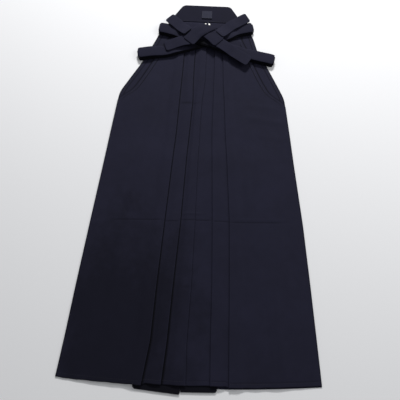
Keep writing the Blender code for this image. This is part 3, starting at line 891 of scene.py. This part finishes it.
def woven_paint(name, colour, pitch, worn=1.3, rough=0.84, sheen=0.06, painted_shade_patch=None):
    """Twill: slanting ribs of yarn, uneven dye, paler rubbed folds and edges, and shade painted in
    crevices, along edges and under things where the mark is below 0.

    Its last argument is an area painted darker as shade, towards the lower left: its middle x and y, its
    half sizes and how strong.
    """
    paint = Paint(name)
    chart = paint.node("ShaderNodeUVMap", {"uv_map": "cloth"})
    split = paint.node("ShaderNodeSeparateXYZ", {}, Value(paint, chart.outputs[0]))
    across, along = (Value(paint, split.outputs[k]) * (math.tau / pitch) for k in (0, 1))
    ribs = (across + along * 0.85).sine() * 0.5 + 0.5
    yarns = (across * 2).sine() * (along * 2).sine()
    place = paint.place()
    broad = paint.noise(place, 7.0, 3.0, 0.55)
    patch = paint.noise(place, 46.0, 4.0, 0.6)
    lint = paint.noise(place, 1900.0, 1.0)
    mark = Value(paint, paint.node("ShaderNodeAttribute", {"attribute_name": "wear_and_shade"}).outputs["Fac"])
    # Where the mark is below 0, shade is painted into the colour.
    rubbed, painted_crevice_shade = mark.clamped(), (mark * -1).clamped()
    tone = (ribs * 0.35 + broad * 0.9 + patch * 0.45 - 0.35).clamped()
    dyed = paint.blend(tone, shade(colour, 0.72), shade(colour, 1.28))
    # Painted shade: the fronts darker towards the lower left, with a ragged edge.
    if painted_shade_patch:
        spots = paint.node("ShaderNodeSeparateXYZ", {}, place)
        aside = (Value(paint, spots.outputs[0]) - painted_shade_patch[0]) / painted_shade_patch[2]
        above = (Value(paint, spots.outputs[1]) - painted_shade_patch[1]) / painted_shade_patch[3]
        away = (aside * aside + above * above) ** 0.5
        share = ((away + (patch - 0.5) * 0.5 + (broad - 0.5) * 1.2) * -1.4 + 1.7).clamped()
        dyed = paint.blend(share * painted_shade_patch[4], dyed, shade(colour, 0.35))
    fluff = ((lint - 0.66) * 6.0).clamped() * 0.35
    dusted = paint.blend(fluff, dyed, shade(colour, 2.1))
    faded = paint.blend(rubbed * patch * 1.3, dusted, shade(colour, worn))
    paint.set("Base Color", paint.blend(painted_crevice_shade * 0.95, faded, shade(colour, 0.05)))
    paint.set("Roughness", (broad * 0.14 + ribs * 0.05 + (rough - 0.08)).clamped())
    height = ribs * 0.7 + yarns * 0.3 + lint * 0.5
    bump = paint.node("ShaderNodeBump", {}, Strength=0.45, Distance=0.00012, Height=height)
    paint.set("Normal", Value(paint, bump.outputs[0]))
    paint.set("Sheen Weight", sheen)
    paint.set("Sheen Roughness", 0.45)
    paint.set("Sheen Tint", (0.50, 0.50, 0.90, 1.0))
    paint.set("Specular IOR Level", 0.10)
    return paint.material


def thread_paint(name, colour):
    paint = Paint(name)
    place = paint.place()
    twist = paint.noise(place, 900.0, 2.0)
    paint.set("Base Color", paint.blend(twist, shade(colour, 0.6), shade(colour, 1.5)))
    paint.set("Roughness", (twist * 0.2 + 0.5).clamped())
    return paint.material


def plastic_paint(name, colour):
    """Moulded plastic with a fine satin grain and broad patches that are duller and slightly yellowed."""
    paint = Paint(name)
    place = paint.place()
    grain = paint.noise(place, 2600.0, 2.0)
    broad = paint.noise(place, 120.0, 3.0)
    aged = (colour[0] * 0.93, colour[1] * 0.91, colour[2] * 0.82, 1.0)
    paint.set("Base Color", paint.blend(broad, tuple(colour[:3]) + (1.0,), aged))
    paint.set("Roughness", (broad * 0.2 + 0.32).clamped())
    bump = paint.node("ShaderNodeBump", {}, Strength=0.2, Distance=0.00005, Height=grain)
    paint.set("Normal", Value(paint, bump.outputs[0]))
    return paint.material


def floor_paint(name, colour):
    paint = Paint(name)
    place = paint.place()
    cloud = paint.noise(place, 1.2, 2.0)
    paint.set("Base Color", paint.blend(cloud, shade(colour, 0.985), tuple(colour[:3]) + (1.0,)))
    paint.set("Roughness", 0.9)
    paint.set("Specular IOR Level", 0.1)
    return paint.material


# Sizes and colours that a user may change


def length(name, description, default):
    return bpy.props.FloatProperty(
        name=name, description=description, default=default, min=0.0, subtype="DISTANCE",
        unit="LENGTH", precision=5,
    )


def colour(name, description, default):
    return bpy.props.FloatVectorProperty(
        name=name, description=description, default=default, size=3, min=0.0, max=1.0,
        subtype="COLOR",
    )


class HakamaCloth(bpy.types.PropertyGroup):
    wall: length("Cloth", "Thickness of one layer of cloth", 0.0007)
    hem_width: length("Hem width", "Height of the turned hem at the foot", 0.012)
    side_hem_width: length("Side hem width", "Width of the turned edge of a side opening", 0.012)
    hem_rise: length("Hem rise", "How far a turned hem stands up", 0.00014)
    weave: length("Weave", "Distance between the twill's ribs", 0.0011)
    colour: colour("Cloth colour", "Dye of the legs", (0.0140, 0.0140, 0.0272))
    # The cloth between the legs is the legs' navy set much darker as painted shade, for it lies shaded
    # under the fronts.
    inner_shaded_colour: colour("Inner colour", "Dye seen between the legs", (0.0038, 0.0038, 0.0068))


class HakamaTies(bpy.types.PropertyGroup):
    wall: length("Tie thickness", "Thickness of one layer of a tie", 0.00105)
    band_wall: length("Waistband thickness", "Thickness of the front waistband", 0.0012)
    weave: length("Weave", "Distance between the twill's ribs on the ties", 0.0010)
    # The ties are the legs' navy set darker as painted shade, against the stronger light near the waist.
    colour: colour("Tie colour", "Dye of the ties and the waistband", (0.0127, 0.0127, 0.0250))


class HakamaBoard(bpy.types.PropertyGroup):
    rim: length("Board rim", "Radius of the board's rims", 0.0011)
    crown: length("Board crown", "How far the padded cover swells in the middle", 0.0009)
    # The board's cover is the legs' navy set much darker as painted shade, against the stronger light
    # near the waist.
    colour: colour("Board colour", "Dye of the board's cover", (0.0098, 0.0098, 0.0195))
    label_colour: colour("Label colour", "Yarn of the bare label", (0.013, 0.014, 0.030))
    spatula_colour: colour("Spatula colour", "Plastic of the spatula", (0.80, 0.80, 0.78))


class HakamaStitches(bpy.types.PropertyGroup):
    length: length("Stitch length", "Length of one stitch", 0.0030)
    gap: length("Stitch gap", "Space between two stitches", 0.0014)
    thick: length("Thread", "Thickness of the sewing thread", 0.00032)
    colour: colour("Thread colour", "Dye of the sewing thread", (0.0085, 0.0086, 0.0158))


class HakamaStage(bpy.types.PropertyGroup):
    floor_colour: colour("Floor", "Colour of the pale floor", (0.90, 0.90, 0.91))
    key_power: bpy.props.FloatProperty(
        name="Key light", description="Power of the light at the waist side", default=66.0, min=0.0,
        unit="POWER",
    )
    side_power: bpy.props.FloatProperty(
        name="Side light", description="Power of the light on the right", default=9.0, min=0.0,
        unit="POWER",
    )
    fill_strength: bpy.props.FloatProperty(
        name="Fill", description="Strength of the even light from all round", default=0.31, min=0.0,
    )


# Operators


class HAKAMA_OT_backs(bpy.types.Operator):
    """Make the two flat back panels"""

    bl_idname = "hakama.backs"
    bl_label = "Back panels"

    def execute(self, context):
        cloth = context.scene.hakama_cloth
        material = woven_paint("back_twill", cloth.colour, cloth.weave)
        make_back("back_leg_left", -1, cloth, material)
        make_back("back_leg_right", 1, cloth, material)
        return {"FINISHED"}


class HAKAMA_OT_inner_legs(bpy.types.Operator):
    """Make the folded cloth between the legs"""

    bl_idname = "hakama.inner_legs"
    bl_label = "Inner legs"

    def execute(self, context):
        cloth = context.scene.hakama_cloth
        material = woven_paint("inner_twill_shaded", cloth.inner_shaded_colour, cloth.weave)
        for node in INNER_EDGES:
            stations = inner_course(node)
            make_band(node, stations, 2, 0.0012, cloth.wall, material)
        return {"FINISHED"}


class HAKAMA_OT_fronts(bpy.types.Operator):
    """Make the two pleated front panels"""

    bl_idname = "hakama.fronts"
    bl_label = "Front panels"

    def execute(self, context):
        cloth = context.scene.hakama_cloth
        material = woven_paint("front_twill", cloth.colour, cloth.weave, painted_shade_patch=PAINTED_SHADE_PATCH)
        make_front("front_leg_left", -1, cloth, material)
        make_front("front_leg_right", 1, cloth, material)
        return {"FINISHED"}


class HAKAMA_OT_ties(bpy.types.Operator):
    """Make the waistband, the folded front ties and the knotted back ties"""

    bl_idname = "hakama.ties"
    bl_label = "Waistband and ties"

    def execute(self, context):
        ties = context.scene.hakama_ties
        material = woven_paint("tie_twill", ties.colour, ties.weave)
        band = tie_course("front_waistband", WAISTBAND)
        make_band("front_waistband", band, 1, 0.0, ties.band_wall, material)
        for node, tie in TIES.items():
            stations = tie_course(node, tie)
            piece = make_band(
                node, stations, tie.layers, tie.loose, ties.wall, material,
            )
        return {"FINISHED"}


class HAKAMA_OT_board(bpy.types.Operator):
    """Make the stiff back board and its bare label"""

    bl_idname = "hakama.board"
    bl_label = "Back board"

    def execute(self, context):
        board = context.scene.hakama_board
        weave = context.scene.hakama_ties.weave
        low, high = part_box("back_board")
        corners = [
            (-BOARD_HALF_BASE, BOARD_BASE_Y),
            (BOARD_HALF_BASE, BOARD_BASE_Y),
            (BOARD_HALF_TOP, BOARD_TOP_Y),
            (-BOARD_HALF_TOP, BOARD_TOP_Y),
        ]
        thick = high.z - low.z - BASE_FALL
        swells = ((0.0011, board.crown * 0.7), (0.0011, board.crown * 0.3), (0.0006, 0.0))
        bm = plate(corners, low.z, thick, BOARD_CORNER, board.rim, swells)
        for vert in bm.verts:
            if vert.co.z > thick / 2:
                vert.co.z += BASE_FALL * eased((vert.co.y - BOARD_BASE_Y) / BASE_FALL_RUN)
        cover = woven_paint("board_twill", board.colour, weave)
        finish_piece("back_board_cover", bm, cover, ("back_board",))
        low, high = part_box("board_label")
        thick = high.z - low.z
        bottom = low.z + board.crown * 0.3
        bm = plate(box_corners("board_label"), bottom, thick, 0.001, 0.0002, ((0.0003, 0.0),))
        patch = woven_paint("label_weave", board.label_colour, weave * 0.6, rough=0.6)
        finish_piece("board_label_patch", bm, patch, ("board_label",))
        return {"FINISHED"}


class HAKAMA_OT_spatula(bpy.types.Operator):
    """Make the white spatula and the strap across it"""

    bl_idname = "hakama.spatula"
    bl_label = "Spatula"

    def execute(self, context):
        board = context.scene.hakama_board
        ties = context.scene.hakama_ties
        low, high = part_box("spatula")
        corners = box_corners("spatula", 0.0015, 0.0006)
        corners = [(x, y - SPATULA_DROP) for x, y in corners]
        bm = plate(corners, low.z, high.z - low.z, 0.0036, 0.0005, ((0.0006, 0.0),))
        plastic = plastic_paint("spatula_plastic", board.spatula_colour)
        finish_piece("spatula_tongue", bm, plastic, ("spatula",))
        stations = tie_course("spatula_strap", STRAP, 0.0015)
        tape = woven_paint("strap_tape", ties.colour, ties.weave)
        make_band("spatula_strap", stations, 1, 0.0, 0.0006, tape)
        return {"FINISHED"}


class HAKAMA_OT_stitches(bpy.types.Operator):
    """Sew the rows of stitches along hems, side openings, the board and its label"""

    bl_idname = "hakama.stitches"
    bl_label = "Stitches"

    def execute(self, context):
        thread = context.scene.hakama_stitches
        cloth = context.scene.hakama_cloth
        material = thread_paint("sewing_thread", thread.colour)
        for name, slot, ground, lines in stitch_rows(cloth):
            bm = bmesh.new()
            trees = ground_tree(ground)
            for points in lines:
                stitch_line(bm, trees, points, thread.length, thread.gap, thread.thick)
            finish_piece(name, bm, material)
        return {"FINISHED"}


class HAKAMA_OT_cuts(bpy.types.Operator):
    """A step named for the flat cuts of the cloth; it makes and states nothing."""

    bl_idname = "hakama.cuts"
    bl_label = "Flat cuts"

    def execute(self, context):
        return {"FINISHED"}


def stitch_rows(cloth):
    """Each group of stitches: its name, its slot, the pieces under it, and its lines."""
    hems = [hem_line(first, last, cloth.hem_width - STITCH_IN) for first, last in HEM_STITCHES]
    inset = cloth.side_hem_width - STITCH_IN
    fronts, backs = [], []
    for outward in (-1, 1):
        fronts.append(side_line(FRONT_SECTIONS, 0.811, outward, inset))
        backs.append(side_line(BACK_EDGES, 0.817, outward, inset))
        backs.append(side_line(BACK_EDGES, 0.817, outward, 0.003))
    base, top = BOARD_BASE_Y + 0.0035, BOARD_TOP_Y - 0.0035
    board = [
        [(-0.112, base), (0.0, base), (0.112, base)],
        [(-0.110, base + 0.001), (-0.091, (base + top) / 2), (-0.071, top)],
        [(0.110, base + 0.001), (0.091, (base + top) / 2), (0.071, top)],
        [(-0.070, top), (0.0, top), (0.070, top)],
    ]
    x, y = LABEL_MIDDLE
    half_x, half_y = LABEL_HALF
    label = []
    for a, b in (((-1, -1), (1, -1)), ((1, -1), (1, 1)), ((1, 1), (-1, 1)), ((-1, 1), (-1, -1))):
        first = (x + a[0] * half_x, y + a[1] * half_y)
        last = (x + b[0] * half_x, y + b[1] * half_y)
        middle = ((first[0] + last[0]) / 2, (first[1] + last[1]) / 2)
        label.append([first, middle, last])
    both = ["front_leg_left_cloth", "front_leg_right_cloth"]
    return (
        ("front_hem_stitches", "cloth", both, hems),
        ("front_side_stitches", "cloth", both, fronts),
        ("back_side_stitches", "cloth", ["back_leg_left_cloth", "back_leg_right_cloth"], backs),
        ("board_stitches", "board_cloth", ["back_board_cover"], board),
        ("label_stitches", "label", ["board_label_patch"], label),
    )


def side_line(table, start, outward, inset):
    """A row of stitches inside one side edge of a table, from a height up."""
    rows = [row for row in table if row.y >= start]
    return [((row.left if outward < 0 else row.right) - outward * inset, row.y) for row in rows]


def hem_line(first, last, y):
    points = []
    for k in range(7):
        x = mixed(first, last, k / 6)
        points.append((x, y + front_drop(x, y)))
    return points


class HAKAMA_OT_stage(bpy.types.Operator):
    """Set the pale floor, the soft lights and the camera"""

    bl_idname = "hakama.stage"
    bl_label = "Floor, lights and camera"

    def execute(self, context):
        stage = context.scene.hakama_stage
        scene = context.scene
        scene.view_settings.view_transform = "Standard"
        bm = bmesh.new()
        bmesh.ops.create_grid(bm, x_segments=1, y_segments=1, size=6)
        bmesh.ops.translate(bm, verts=bm.verts, vec=(0, 0, -0.0004))
        mesh = bpy.data.meshes.new("floor")
        bm.to_mesh(mesh)
        bm.free()
        mesh.materials.append(floor_paint("pale_floor", stage.floor_colour))
        floor = bpy.data.objects.new("floor", mesh)
        scene.collection.objects.link(floor)
        add_light("key", *KEY_LIGHT, stage.key_power)
        add_light("side", *SIDE_LIGHT, stage.side_power)
        world = bpy.data.worlds.new("studio")
        world.use_nodes = True
        background = world.node_tree.nodes["Background"]
        background.inputs["Color"].default_value = (0.95, 0.97, 1.0, 1.0)
        background.inputs["Strength"].default_value = stage.fill_strength
        scene.world = world
        scene.camera = add_camera()
        return {"FINISHED"}


def add_light(name, place, aim, size, power):
    light = bpy.data.lights.new(name, "AREA")
    light.shape = "RECTANGLE"
    light.size, light.size_y = size
    light.energy = power
    lamp = bpy.data.objects.new(name, light)
    lamp.location = place
    lamp.rotation_euler = (Vector(aim) - Vector(place)).to_track_quat("-Z", "Y").to_euler()
    bpy.context.scene.collection.objects.link(lamp)


def add_camera():
    """The camera above the hem, as the garment was looked at."""
    lens = bpy.data.cameras.new("camera")
    lens.lens = CAMERA_LENS
    lens.sensor_width = 36.0
    camera = bpy.data.objects.new("camera", lens)
    azimuth, down, roll = (math.radians(angle) for angle in CAMERA_TURN)
    level = math.cos(down)
    ahead = Vector((math.sin(azimuth) * level, math.cos(azimuth) * level, -math.sin(down)))
    right = Vector((math.cos(azimuth), -math.sin(azimuth), 0.0))
    up = right.cross(ahead)
    across = math.cos(roll) * right + math.sin(roll) * up
    upright = -math.sin(roll) * right + math.cos(roll) * up
    turned = Matrix((across, upright, -ahead)).transposed().to_4x4()
    camera.matrix_world = Matrix.Translation(CAMERA_PLACE) @ turned
    bpy.context.scene.collection.objects.link(camera)
    return camera


class HAKAMA_PT_panel(bpy.types.Panel):
    """The steps that make the trousers"""

    bl_label = "Hakama trousers"
    bl_idname = "HAKAMA_PT_panel"
    bl_space_type = "VIEW_3D"
    bl_region_type = "UI"
    bl_category = "Hakama"

    def draw(self, context):
        for group, owner in GROUPS.items():
            box = self.layout.box()
            for key in owner.__annotations__:
                box.prop(getattr(context.scene, group), key)
        for step in STEPS:
            self.layout.operator(step.bl_idname)


GROUPS = {
    "hakama_cloth": HakamaCloth,
    "hakama_ties": HakamaTies,
    "hakama_board": HakamaBoard,
    "hakama_stitches": HakamaStitches,
    "hakama_stage": HakamaStage,
}
STEPS = (
    HAKAMA_OT_backs,
    HAKAMA_OT_inner_legs,
    HAKAMA_OT_fronts,
    HAKAMA_OT_ties,
    HAKAMA_OT_board,
    HAKAMA_OT_spatula,
    HAKAMA_OT_stitches,
    HAKAMA_OT_cuts,
    HAKAMA_OT_stage,
)


def register():
    for group, owner in GROUPS.items():
        bpy.utils.register_class(owner)
        setattr(bpy.types.Scene, group, bpy.props.PointerProperty(type=owner))
    for owner in STEPS + (HAKAMA_PT_panel,):
        bpy.utils.register_class(owner)


def unregister():
    for owner in (HAKAMA_PT_panel,) + STEPS[::-1]:
        bpy.utils.unregister_class(owner)
    for group, owner in GROUPS.items():
        delattr(bpy.types.Scene, group)
        bpy.utils.unregister_class(owner)


def main():
    register()
    bpy.ops.hakama.backs()
    bpy.ops.hakama.inner_legs()
    bpy.ops.hakama.fronts()
    bpy.ops.hakama.ties()
    bpy.ops.hakama.board()
    bpy.ops.hakama.spatula()
    bpy.ops.hakama.stitches()
    bpy.ops.hakama.cuts()
    bpy.ops.hakama.stage()


if __name__ == "__main__":
    main()
